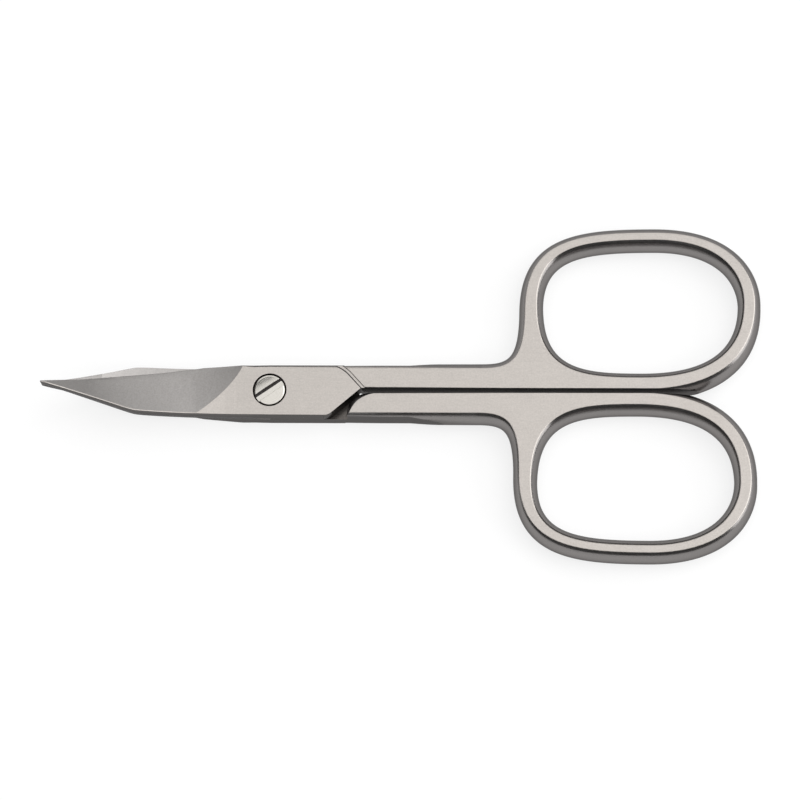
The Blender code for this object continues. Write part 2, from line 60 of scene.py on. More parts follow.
bl_info = {
    "name": "Nail Scissors",
    "version": (1, 0, 0),
    "blender": (4, 5, 0),
    "location": "3D View > Sidebar > Nail Scissors",
    "description": "Builds a pair of nail scissors with curved blades, and a plain stage for them",
    "category": "Add Mesh",
}

MM = 0.001
PIVOT = Vector(next(joint["pos_m"] for joint in frame["joints"] if joint["name"] == "blade_pivot"))
HALF_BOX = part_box("front_half")
SOLID_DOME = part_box("pivot_screw")[1].z - 2 * PIVOT.z

# Face materials of each half, in the order of its slots; the SIDE, WALL and CUT colours hold painted
# shade
FLAT = 0
GRIND = 1
SIDE = 2
WALL = 3
CUT = 4

# How fine the shapes are
ROUND_STEPS = 96
CURVE_STEPS = 48
CORNER_STEPS = 16
DOME_STEPS = 16
SIDE_ROWS = 12
GRIND_STEPS = 8

# How full each quarter of the ring's two ovals is, at its side and at its crest or foot: 0.55 for a
# circle. Far left, far right, near right, near left. The web stands in for the ring's 0.0.
HOLE_FULLNESS = ((0.92, 0.62), (0.49, 0.74), (0.73, 0.60), (0.98, 0.54))
RING_FULLNESS = ((0.92, 0.59), (0.42, 0.78), (0.63, 0.65), (0.0, 0.25))

# Rows of the softened edge between side and flat: inset and drop, as shares of its width
SOFT_EDGE = ((0.05, 0.45), (0.3, 0.12), (0.8, 0.0))

EDGE_MIDDLE = 0.3     # middle of a broken edge, as a share of its width from either face
WIDEST_LAND = 0.2     # most of a section's width that the spine's land or a broken edge takes
CUTS_APART = 0.4      # share of the overlap that keeps two cuts' faces out of one plane
SHOULDER_OVERLAP = 6  # how many overlaps the shoulder reaches above the lap face
OVERCUT = 2.0 * MM    # how far a cutting body stands out past what it cuts
WELD = 0.003 * MM     # points nearer than this are one before the edges are softened
CLEAN = 0.0005 * MM   # and after
SOFTENED_FROM = 32.0  # degrees that two faces turn at an edge that is softened
SHARP_FROM = 40.0     # and at one that stays sharp in the shading
LEVEL = 0.99999       # upright share of a normal from which a flat is level

# Scales of the steel's patterns, per metre: along, across and up
GRAIN_ALONG = (900.0, 14000.0, 14000.0)
GRAIN_ACROSS = (9000.0, 1400.0, 9000.0)
GRAIN_ROUND = (1500.0, 1500.0, 16000.0)
GRAIN_EVEN = (1500.0, 1500.0, 1500.0)
MOTTLE_SCALE = (420.0, 420.0, 420.0)
SPECK_SCALE = (5200.0, 5200.0, 5200.0)
SMUDGE_SCALE = (900.0, 900.0, 900.0)
TURNING_SCALE = 9000.0
BROAD_SHARE = 0.22    # scale of the broad streaks, as a share of the fine ones'

DARKEST = 0.8                # share of the steel's colour where it is darkest
BRIGHTEST = 1.2              # and brightest
GRAIN_DEPTH = 0.012 * MM     # height of the brushed grain
TURNING_DEPTH = 0.006 * MM   # height of the turning rings
STREAK_HEIGHT = 0.7          # share of the grain's height that its streaks make
SPECK_HEIGHT = 0.3           # and its specks
STREAK_ROUGHNESS = 0.12      # how far the streaks vary the roughness
MOTTLE_ROUGHNESS = 0.1       # and the mottling
RING_ROUGHNESS = 0.1         # and the turning rings on the screw
SMUDGE_ROUGHNESS = 0.16      # and its smudges
RING_TONE = 0.5              # how far the rings vary the screw's tone
SMUDGE_TONE = 0.7            # and the smudges
GROUND_GRAIN = 0.6           # grain of the ground blades, as a share of the flats'
SIDE_GRAIN = 0.8             # and of the sides

# Soft panels: name, its level's setting, azimuth and elevation in degrees, distance, width and height
PANELS = (
    ("overhead panel", "overhead_level", -60.0, 79.0, 0.6, (1.15, 0.95)),
    ("far panel", "far_level", 90.0, 34.0, 0.8, (1.3, 0.62)),
    ("upper far panel", "upper_far_level", 108.0, 46.0, 0.75, (0.42, 0.22)),
    ("right panel", "right_level", 0.0, 20.0, 1.2, (1.5, 0.86)),
    ("window panel", "window_level", 25.0, 52.0, 1.2, (0.72, 0.5)),
)


def length(name, default, description):
    """A size in metres that is shown in the scene's units."""
    return bpy.props.FloatProperty(name=name, description=description, default=default, soft_min=0.0,
                                   precision=5, subtype="DISTANCE", unit="LENGTH")


def factor(name, default, description, low=0.0, high=1.0):
    """A plain number within limits."""
    return bpy.props.FloatProperty(name=name, description=description, default=default,
                                   min=low, max=high, subtype="FACTOR")


def radiance(name, default, description):
    """The level of a light: 1 shows white."""
    return factor(name, default, description, high=6.0)


def angle(name, degrees, description):
    """An angle, given in degrees."""
    return bpy.props.FloatProperty(name=name, description=description,
                                   default=math.radians(degrees), subtype="ANGLE")


def tint(name, default, description):
    """A linear colour."""
    return bpy.props.FloatVectorProperty(name=name, description=description, default=default, size=3,
                                         min=0.0, max=1.0, subtype="COLOR")


def group(kind, name, description):
    """A group of settings."""
    return bpy.props.PointerProperty(type=kind, name=name, description=description)


class StockSizes(bpy.types.PropertyGroup):
    """The steel that both halves are made from."""
    thickness: length("Thickness", 2 * PIVOT.z, "Shanks and rings, outer face to outer face")
    blade_gap: length("Blade gap", 0.1 * MM, "Running clearance between the halves' inner faces")
    side_bulge: length("Side bulge", 0.96 * MM, "How far the long sides stand out past the flats")
    end_bulge: length("End bulge", 0.73 * MM, "The same at the rings' left and right ends")
    flat_edge: length("Flat edge", 0.14 * MM, "Softened edge between a flat and its domed side")
    satin_bands: bpy.props.IntProperty(name="Satin bands", default=2,
                                       description="Bands of the side that share the flat's finish")
    spine_break: length("Spine break", 0.06 * MM, "Broken edge along the spine")
    plate_break: length("Plate break", 0.24 * MM, "Broken edge along the joint plate's ring side")
    edge_break: length("Edge break", 0.03 * MM, "What is left of it along the cutting edge")
    fade_start: length("Fade start", 2.0 * MM, "Where it starts to narrow, from the screw")
    fade: length("Fade", 2.0 * MM, "Length over which it narrows")
    cut_edge: length("Cut edge", 0.03 * MM, "Softened edge of every other cut")


class ShankSizes(bpy.types.PropertyGroup):
    """The straight shank between the joint and the ring."""
    inner: length("Inner edge", 0.39 * MM, "Flat's edge beside the other shank, from the middle line")
    gap: length("Gap", 0.6 * MM, "Gap between the two shanks' ground sides with painted shade")
    outer: length("Outer edge", 2.92 * MM, "Flat's outer edge, from the middle line")
    side: length("Outer side", 3.32 * MM, "Ground outer side, from the middle line")
    overlap: length("Overlap", 0.05 * MM, "How far the shank reaches into the joint plate")
    start: length("Start", 9.3 * MM, "Where the rounded outer side starts")
    side_blend: length("Side blend", 4.5 * MM, "Length over which the ground side runs out")
    web_start: length("Web start", 26.5 * MM, "Where the outer edge leaves for the ring")
    web_at_shank: factor("Web at shank", 0.70, "Fullness of the fillet to the ring, at the shank")
    web_at_ring: factor("Web at ring", 0.88, "Fullness of the fillet to the ring, at the ring")
    web_end: length("Web end", 0.9 * MM, "Where the fillet meets the ring, below its centre line")


class RingSizes(bpy.types.PropertyGroup):
    """The finger ring: furthest points and fullness of the two ovals that edge its flat."""
    hole_left: length("Hole left", 33.35 * MM, "Hole's end nearest the screw")
    hole_length: length("Hole length", 25.85 * MM, "Hole's length along the scissors")
    hole_near: length("Hole near", 1.75 * MM, "Hole's side nearest the middle line")
    hole_width: length("Hole width", 17.95 * MM, "Hole's width across the scissors")
    centre_line: length("Centre line", 11.4 * MM, "Level of the left and right furthest points")
    flat_left: length("Flat left", 1.55 * MM, "Width of the flat at the left")
    flat_far: length("Flat far", 0.98 * MM, "Width of the flat at the crest")
    flat_right: length("Flat right", 1.4 * MM, "Width of the flat at the right")
    flat_near: length("Flat near", 1.54 * MM, "Width of the flat at the foot")
    crest: length("Crest", 14.7 * MM, "The ovals' far point, from the hole's left end")
    foot: length("Foot", 13.2 * MM, "The ovals' near point, from the hole's left end")
    setback: length("Back ring setback", 0.5 * MM, "The back half's ring sits this much nearer the screw")


class BladeSizes(bpy.types.PropertyGroup):
    """The upswept blade with its ground face."""
    length: length("Length", -HALF_BOX[0].x, "Screw to tip, measured flat")
    radius: length("Curve radius", 60.0 * MM, "Radius that the blade curves up with")
    curve_start: length("Curve start", 4.0 * MM, "Where that curve starts, beyond the screw")
    grind_start: length("Grind start", 3.5 * MM, "Where the ground face starts on the cutting side")
    grind_end: length("Grind end", 9.0 * MM, "Where it reaches the spine")
    arc_along: factor("Arc pull", 0.29, "Pull of the arc between the two, as a share of its length")
    arc_across: length("Arc level", -0.1 * MM, "Level that the arc is pulled to")
    levelling: length("Arc levelling", 1.6 * MM, "Distance past the spine where the arc turns back")
    grind_full: length("Grind full", 15.0 * MM, "Where the cutting edge is ground to its full thinness")
    steepest: factor("Steepest grind", 0.7, "Most that the ground face falls, per unit across")
    hollow: length("Hollow", 0.05 * MM, "How far the ground face is hollowed")
    corner: length("Spine corner", 17.0 * MM, "Where the spine turns in towards the tip")
    spine_at_corner: length("Spine at corner", 3.14 * MM, "Its distance from the middle line there")
    corner_softness: length("Corner softness", 0.18 * MM, "Rounding of that corner")
    spine_hollow: length("Spine hollow", 0.09 * MM, "How far the spine bows in between corner and tip")
    land: length("Spine land", 0.1 * MM, "Narrow flat left along the spine")
    edge_start: length("Edge start", 8.5 * MM, "Where the cutting edge starts to fall in")
    edge_at_start: length("Edge at start", 3.08 * MM, "Its distance from the middle line there")
    edge_belly: length("Edge belly", 0.17 * MM, "How far the cutting edge bows out from straight")
    edge_thickness: length("Edge thickness", 0.2 * MM, "Steel left at the cutting edge")
    tooth_pitch: length("Tooth pitch", 0.3 * MM, "Spacing of the front blade's fine serration")
    tooth_depth: length("Tooth depth", 0.016 * MM, "Its depth")
    tip_half_width: length("Tip half width", 0.06 * MM, "Half the width of the very tip")
    tip_thickness: length("Tip thickness", 1.0 * MM, "Thickness at the tip's spine")
    taper_power: factor("Spine taper", 1.5, "How late the spine thins towards the tip", 1.0, 3.0)


class JointSizes(bpy.types.PropertyGroup):
    """The lapped joint: plates, shoulders, groove."""
    half_width: length("Plate half width", 3.25 * MM, "Half the width of the joint plate")
    end: length("Plate end", 11.6 * MM, "Reach of its pointed end, from the screw")
    heel: length("Plate heel", 7.4 * MM, "Where the plate's far corner starts to slope")
    heel_round: length("Heel round", 1.6 * MM, "Rounding of that corner")
    shoulder_start: length("Shoulder start", 9.75 * MM, "Where the shank's full thickness starts")
    shoulder_round: length("Shoulder round", 2.95 * MM, "Rounding of the shoulder into the ground side")
    shoulder_edge_round: length("Shoulder edge round", 4.9 * MM, "Rounding of its bevelled edge")
    shoulder_bevel: length("Shoulder bevel", 0.5 * MM, "Height of that bevel")
    shoulder_run_out: length("Shoulder run-out", 0.02 * MM, "How far past the ground side it ends")
    groove_width: length("Groove width", 0.5 * MM, "Groove between joint face and shank")
    groove_depth: length("Groove depth", 0.15 * MM, "Its depth")
    groove_bevel: length("Groove bevel", 0.18 * MM, "How wide its sloping side is, at the joint face")
    groove_lean: length("Groove wall lean", 0.03 * MM, "How wide its steep side is, at the shank")
    groove_start: length("Groove start", 4.0 * MM, "Where it starts beside the plate's outer side")
    groove_bend: length("Groove bend", 8.75 * MM, "Where it turns towards the plate's point")
    groove_bend_round: length("Groove bend round", 4.6 * MM, "Rounding of that turn")
    groove_side_offset: length("Groove side offset", 0.27 * MM, "From the plate's side to its middle")


class ScrewSizes(bpy.types.PropertyGroup):
    """The slotted pivot screw."""
    head_radius: length("Head radius", 1.95 * MM, "Radius of the head")
    head_height: length("Head height", 0.9 * MM, "Height of the head below the plate's face")
    dome: length("Dome", 0.68 * SOLID_DOME, "How far the head's face domes up")
    shaft_radius: length("Shaft radius", 1.2 * MM, "Radius of the neck and thread")
    end_break: length("End break", 0.12 * MM, "Broken edge at the lower end")
    head_clearance: length("Head clearance", 0.17 * MM, "Round the head, in its recess")
    running_clearance: length("Running clearance", 0.05 * MM, "Round the shaft and under the head")
    slot_width: length("Slot width", 1.0 * MM, "Width of the slot")
    slot_depth: length("Slot depth", 0.5 * MM, "Depth of the slot")
    slot_bevel: length("Slot bevel", 0.28 * MM, "Sloping corner along one side of its floor")
    slot_angle: angle("Slot angle", 35.0, "Turn of the slot")


class SteelLooks(bpy.types.PropertyGroup):
    """Colours and finish of the steel; the colours of the side faces and cuts hold painted shade."""
    flat_colour: tint("Satin flats", (0.44, 0.411, 0.385), "Satin faces of rings, shanks and joint")
    grind_colour: tint("Ground blade", (0.34, 0.326, 0.316), "Ground faces of the blades")
    # Domed side faces: the steel's colour darkened with painted shade for the dim room and shaded floor
    # they reflect.
    side_steel_and_shade: tint("Domed sides", (0.235, 0.223, 0.218), "Domed sides of rings and shanks")
    # Upright ground faces: the steel's colour darkened further with painted shade.
    wall_steel_and_shade: tint("Ground sides", (0.165, 0.157, 0.153), "Upright ground sides with painted shade of blades and shanks")
    # Cuts: near-black painted shade in the gaps, groove, recess and slot, and on the lap face under the
    # plate.
    cut_painted_shade: tint("Cuts", (0.095, 0.087, 0.08), "Lap, groove, recess and slot")
    screw_colour: tint("Screw", (0.50, 0.48, 0.445), "Turned and slotted screw")
    flat_roughness: factor("Flat roughness", 0.38, "Roughness of the satin faces")
    side_roughness: factor("Side roughness", 0.24, "Roughness of the sides")
    grind_roughness: factor("Grind roughness", 0.42, "Roughness of the ground faces")
    screw_roughness: factor("Screw roughness", 0.2, "Roughness of the screw")
    grazing: factor("Grazing shine", 0.4, "How much the sides brighten when seen at a low angle")
    grain: factor("Grain", 0.35, "Strength of the fine brushed grain")


class StageLooks(bpy.types.PropertyGroup):
    """Floor, lights and camera."""
    floor_colour: tint("Floor", (0.94, 0.94, 0.94), "Colour of the plain floor")
    floor_white: factor("Floor white", 0.75, "How far the floor that is seen is lifted to white")
    floor_size: length("Floor size", 3.0, "Width of the floor")
    overhead_level: radiance("Overhead level", 1.38, "Radiance of the overhead panel")
    far_level: radiance("Far level", 0.85, "Radiance of the panel behind the scissors")
    upper_far_level: radiance("Upper far level", 0.75, "Radiance of the small panel over it")
    right_level: radiance("Right level", 2.8, "Radiance of the low panel at the rings' end")
    window_level: radiance("Window level", 2.0, "Radiance of the small bright panel above it")
    room_level: radiance("Room level", 0.09, "Radiance of the rest of the room")
    camera_distance: length("Camera distance", 480.0 * MM, "Lens to the middle of the view")
    lean_near: angle("Lean to the near side", 15.5, "From straight above")
    lean_right: angle("Lean to the rings", 4.0, "From straight above")
    roll: angle("Roll", 1.22, "Turn of the camera about its line of sight")
    view_width: length("View width", 99.84 * MM, "Width that the picture shows")
    aim_x: length("Aim along", 16.407 * MM, "Middle of the view, along the scissors")
    aim_y: length("Aim across", -1.292 * MM, "Middle of the view, across the scissors")


class NailScissors(bpy.types.PropertyGroup):
    """All sizes and finishes of the scissors and their stage."""
    stock: group(StockSizes, "Stock", "Steel stock")
    shank: group(ShankSizes, "Shank", "Shanks")
    ring: group(RingSizes, "Ring", "Finger rings")
    blade: group(BladeSizes, "Blade", "Blades")
    joint: group(JointSizes, "Joint", "Lapped joint")
    screw: group(ScrewSizes, "Screw", "Pivot screw")
    steel: group(SteelLooks, "Steel", "Finishes")
    stage: group(StageLooks, "Stage", "Stage")


class Wire:
    """A node's output socket, so that shader maths reads as an expression."""

    def __init__(self, tree, socket):
        self.tree = tree
        self.socket = socket

    def math(self, operation, *values):
        return self.tree.node("ShaderNodeMath", {"operation": operation},
                              dict(enumerate((self,) + values)))["Value"]

    def __add__(self, other):
        return self.math("ADD", other)

    def __mul__(self, other):
        return self.math("MULTIPLY", other)

    def __sub__(self, other):
        return self.math("SUBTRACT", other)

    def __rsub__(self, other):
        return (self * -1.0) + other

    def clamped(self):
        """The value, held between 0 and 1."""
        return self.math("MAXIMUM", 0.0).math("MINIMUM", 1.0)

    __radd__ = __add__
    __rmul__ = __mul__


class NodeOutputs:
    """The outputs of one node by name, as wires."""

    def __init__(self, tree, node):
        self.tree = tree
        self.node = node

    def __getitem__(self, name):
        return Wire(self.tree, self.node.outputs[name])


class Finish:
    """A material under construction, with one Principled shader."""

    def __init__(self, name):
        self.material = bpy.data.materials.new(name)
        self.material.use_nodes = True
        self.nodes = self.material.node_tree.nodes
        self.links = self.material.node_tree.links
        self.shader = self.nodes["Principled BSDF"]

    def node(self, kind, settings, sockets):
        """Add a node: its settings first, then the values or wires of its sockets."""
        node = self.nodes.new(kind)
        for key, value in settings.items():
            setattr(node, key, value)
        for key, value in sockets.items():
            self.join(node.inputs[key], value)
        return NodeOutputs(self, node)

    def join(self, socket, value):
        """Link a wire to the socket, or set its value."""
        if isinstance(value, Wire):
            self.links.new(value.socket, socket)
        else:
            socket.default_value = value

    def feed(self, **sockets):
        """Set or join the shader's sockets, named with underscores for spaces."""
        for key, value in sockets.items():
            self.join(self.shader.inputs[key.replace("_", " ")], value)

    def scaled_place(self, scale):
        """Object coordinates, stretched along the axes."""
        place = self.node("ShaderNodeTexCoord", {}, {})["Object"]
        return self.node("ShaderNodeVectorMath", {"operation": "MULTIPLY"},
                         {0: place, 1: scale})["Vector"]

    def noise(self, scale, detail, roughness=0.6):
        """Noise in object coordinates, with its scale along each axis."""
        return self.node("ShaderNodeTexNoise", {"noise_dimensions": "3D"},
                         {"Vector": self.scaled_place(scale), "Scale": 1.0, "Detail": detail,
                          "Roughness": roughness})["Fac"]

    def shade_of(self, colour, mask):
        """The colour, from a darker share of itself to a brighter one by the mask."""
        low = tuple(channel * DARKEST for channel in colour) + (1.0,)
        high = tuple(min(channel * BRIGHTEST, 1.0) for channel in colour) + (1.0,)
        mix = self.node("ShaderNodeMix", {"data_type": "RGBA"}, {"Factor": mask, 6: low, 7: high})
        return Wire(self, mix.node.outputs[2])

    def bump(self, height, strength, distance):
        """A normal that follows a height."""
        return self.node("ShaderNodeBump", {}, {"Height": height, "Strength": strength,
                                                "Distance": distance})["Normal"]


def brushed_steel(name, colour, roughness, grazing, grain, streaks, cloud=0.09, streak_share=0.12,
                  speck=0.2):
    """Steel with grain along one way, soft mottling and fine specks."""
    finish = Finish(name)
    fine = finish.noise(streaks, detail=4.0)
    broad = finish.noise(tuple(value * BROAD_SHARE for value in streaks), detail=2.0)
    mottle = finish.noise(MOTTLE_SCALE, detail=5.0, roughness=0.7)
    pits = finish.noise(SPECK_SCALE, detail=1.0)
    tone = ((fine - 0.5) * (2 * streak_share) + (mottle - 0.5) * (2 * cloud)
            + (broad - 0.5) * streak_share + (pits - 0.5) * (2 * speck))
    unevenness = (fine - 0.5) * STREAK_ROUGHNESS + (mottle - 0.5) * MOTTLE_ROUGHNESS
    height = fine * STREAK_HEIGHT + pits * SPECK_HEIGHT
    finish.feed(Base_Color=finish.shade_of(colour, (tone * 2.0 + 0.5).clamped()),
                Roughness=unevenness + roughness,
                Normal=finish.bump(height, grain, GRAIN_DEPTH),
                Specular_Tint=(grazing, grazing, grazing, 1.0),
                Metallic=1.0)
    return finish.material


def turned_steel(name, colour, roughness, grain):
    """Steel with turning rings round the Z axis."""
    finish = Finish(name)
    place = finish.scaled_place((1.0, 1.0, 0.0))
    radius = finish.node("ShaderNodeVectorMath", {"operation": "LENGTH"}, {0: place})["Value"]
    rings = finish.node("ShaderNodeTexNoise", {"noise_dimensions": "1D"},
                        {"W": radius * TURNING_SCALE, "Scale": 1.0, "Detail": 3.0})["Fac"]
    smudge = finish.noise(SMUDGE_SCALE, detail=4.0)
    mask = ((rings - 0.5) * RING_TONE + (smudge - 0.5) * SMUDGE_TONE + 0.5).clamped()
    unevenness = (rings - 0.5) * RING_ROUGHNESS + (smudge - 0.5) * SMUDGE_ROUGHNESS
    finish.feed(Base_Color=finish.shade_of(colour, mask),
                Roughness=unevenness + roughness,
                Normal=finish.bump(rings, grain, TURNING_DEPTH),
                Metallic=1.0)
    return finish.material


def half_materials(steel):
    """The five finishes of a half, in the order of its slots; the side faces' colours are darkened with
    painted shade, and the cuts' near-black is painted shade.
    """
    grain = steel.grain
    side = (steel.side_roughness, steel.grazing)
    return [
        brushed_steel("satin flats", steel.flat_colour, steel.flat_roughness, 1.0, grain, GRAIN_ALONG),
        brushed_steel("ground blade", steel.grind_colour, steel.grind_roughness, 1.0,
                      GROUND_GRAIN * grain, GRAIN_ACROSS, cloud=0.02),
        # Domed side faces: steel with painted shade in their colour.
        brushed_steel("domed sides with painted shade", steel.side_steel_and_shade, *side, SIDE_GRAIN * grain, GRAIN_ROUND,
                      cloud=0.05, speck=0.03),
        # Upright ground faces: steel with painted shade in their colour.
        brushed_steel("ground sides with painted shade", steel.wall_steel_and_shade, *side, SIDE_GRAIN * grain, GRAIN_ROUND,
                      cloud=0.05, speck=0.03),
        # Cuts: near-black painted shade.
        brushed_steel("cuts with painted shade", steel.cut_painted_shade, *side, grain, GRAIN_ALONG, cloud=0.06),
    ]


def new_object(name, data):
    """An object in the scene's own collection."""
    item = bpy.data.objects.new(name, data)
    bpy.context.scene.collection.objects.link(item)
    return item


def object_from_bmesh(name, shape, materials):
    """A finished shape as an object, with its faces' normals outward."""
    bmesh.ops.recalc_face_normals(shape, faces=shape.faces)
    mesh = bpy.data.meshes.new(name)
    shape.to_mesh(mesh)
    shape.free()
    for material in materials:
        mesh.materials.append(material)
    return new_object(name, mesh)


def combine(target, other, operation):
    """Apply a Boolean of the other object to the target, and drop the other."""
    modifier = target.modifiers.new(operation.lower(), "BOOLEAN")
    modifier.operation = operation
    modifier.object = other
    modifier.solver = "EXACT"
    apply_modifiers(target)
    bpy.data.objects.remove(other, do_unlink=True)


def apply_modifiers(item):
    """Make what the modifiers show the object's own mesh."""
    bpy.context.view_layer.update()
    evaluated = item.evaluated_get(bpy.context.evaluated_depsgraph_get())
    mesh = bpy.data.meshes.new_from_object(evaluated)
    item.modifiers.clear()
    old = item.data
    item.data = mesh
    mesh.name = item.name
    bpy.data.meshes.remove(old)


def bridge(shape, low, high, slots):
    """A band of faces between two closed loops of vertices, with each face's material slot."""
    for index, slot in enumerate(slots):
        after = (index + 1) % len(low)
        corners = [low[index], low[after], high[after], high[index]]
        face = shape.faces.new(list(dict.fromkeys(corners)))
        face.material_index = slot


def stacked(name, layers, materials, slots):
    """Closed lines of equally many points, each at its height, made one solid, one slot to a step."""
    shape = bmesh.new()
    loops = [[shape.verts.new((x, y, height)) for x, y in points] for points, height in layers]
    for low, high, slot in zip(loops, loops[1:], slots):
        bridge(shape, low, high, [slot] * len(low))
    shape.faces.new(loops[0]).material_index = slots[0]
    shape.faces.new(loops[-1]).material_index = slots[-1]
    return object_from_bmesh(name, shape, materials)


def extruded(name, points, low, high, materials, slot):
    """A closed line of points made a solid between two heights."""
    return stacked(name, [(points, low), (points, high)], materials, [slot])


def turned(name, profile, materials, slot):
    """A profile of (radius, height) points turned round the Z axis."""
    shape = bmesh.new()
    turns = [2 * math.pi * (step + 0.5) / ROUND_STEPS for step in range(ROUND_STEPS)]
    rings = []
    for radius, height in profile:
        if radius == 0.0:
            rings.append([shape.verts.new((0.0, 0.0, height))] * ROUND_STEPS)
        else:
            rings.append([shape.verts.new((radius * math.cos(turn), radius * math.sin(turn), height))
                          for turn in turns])
    for low, high in zip(rings, rings[1:]):
        bridge(shape, low, high, [slot] * ROUND_STEPS)
    return object_from_bmesh(name, shape, materials)


def bore(name, radius, low, high, materials):
    """A round body that bores a hole between two heights."""
    return turned(name, [(0.0, high), (radius, high), (radius, low), (0.0, low)], materials, CUT)


def rounded_corner(before, corner, after, radius):
    """Points of the curve that rounds a corner between two straight runs."""
    to_before = math.atan2(before[1] - corner[1], before[0] - corner[0])
    to_after = math.atan2(after[1] - corner[1], after[0] - corner[0])
    half_angle = abs((to_after - to_before + math.pi) % (2 * math.pi) - math.pi) / 2
    reach = radius / math.tan(half_angle)
    start = (corner[0] + reach * math.cos(to_before), corner[1] + reach * math.sin(to_before))
    end = (corner[0] + reach * math.cos(to_after), corner[1] + reach * math.sin(to_after))
    points = []
    for step in range(CORNER_STEPS + 1):
        t = step / CORNER_STEPS
        blend = ((1 - t) ** 2, 2 * t * (1 - t), t ** 2)
        points.append(tuple(blend[0] * start[axis] + blend[1] * corner[axis] + blend[2] * end[axis]
                            for axis in (0, 1)))
    return points


def oval_knots(left, right, near, far, foot, crest, level, fullness):
    """Bezier knots of an oval: its left, far, right and near points, each with its two handles."""
    far_left, far_right, near_right, near_left = fullness
    return [
        ((left, level),
         (left, level - near_left[0] * (level - near)),
         (left, level + far_left[0] * (far - level))),
        ((crest, far),
         (crest - far_left[1] * (crest - left), far),
         (crest + far_right[1] * (right - crest), far)),
        ((right, level),
         (right, level + far_right[0] * (far - level)),
         (right, level - near_right[0] * (level - near))),
        ((foot, near),
         (foot + near_right[1] * (right - foot), near),
         (foot - near_left[1] * (foot - left), near)),
    ]


def along_knots(knots):
    """Points along a closed line of Bezier knots, each (point, handle before it, handle after it)."""
    points = []
    for (start, _, leave), (end, arrive, _) in zip(knots, knots[1:] + knots[:1]):
        straight = start == leave and end == arrive
        for step in range(1 if straight else CURVE_STEPS):
            t = step / CURVE_STEPS
            blend = ((1 - t) ** 3, 3 * t * (1 - t) ** 2, 3 * t ** 2 * (1 - t), t ** 3)
            points.append(tuple(blend[0] * start[axis] + blend[1] * leave[axis]
                                + blend[2] * arrive[axis] + blend[3] * end[axis] for axis in (0, 1)))
    return points


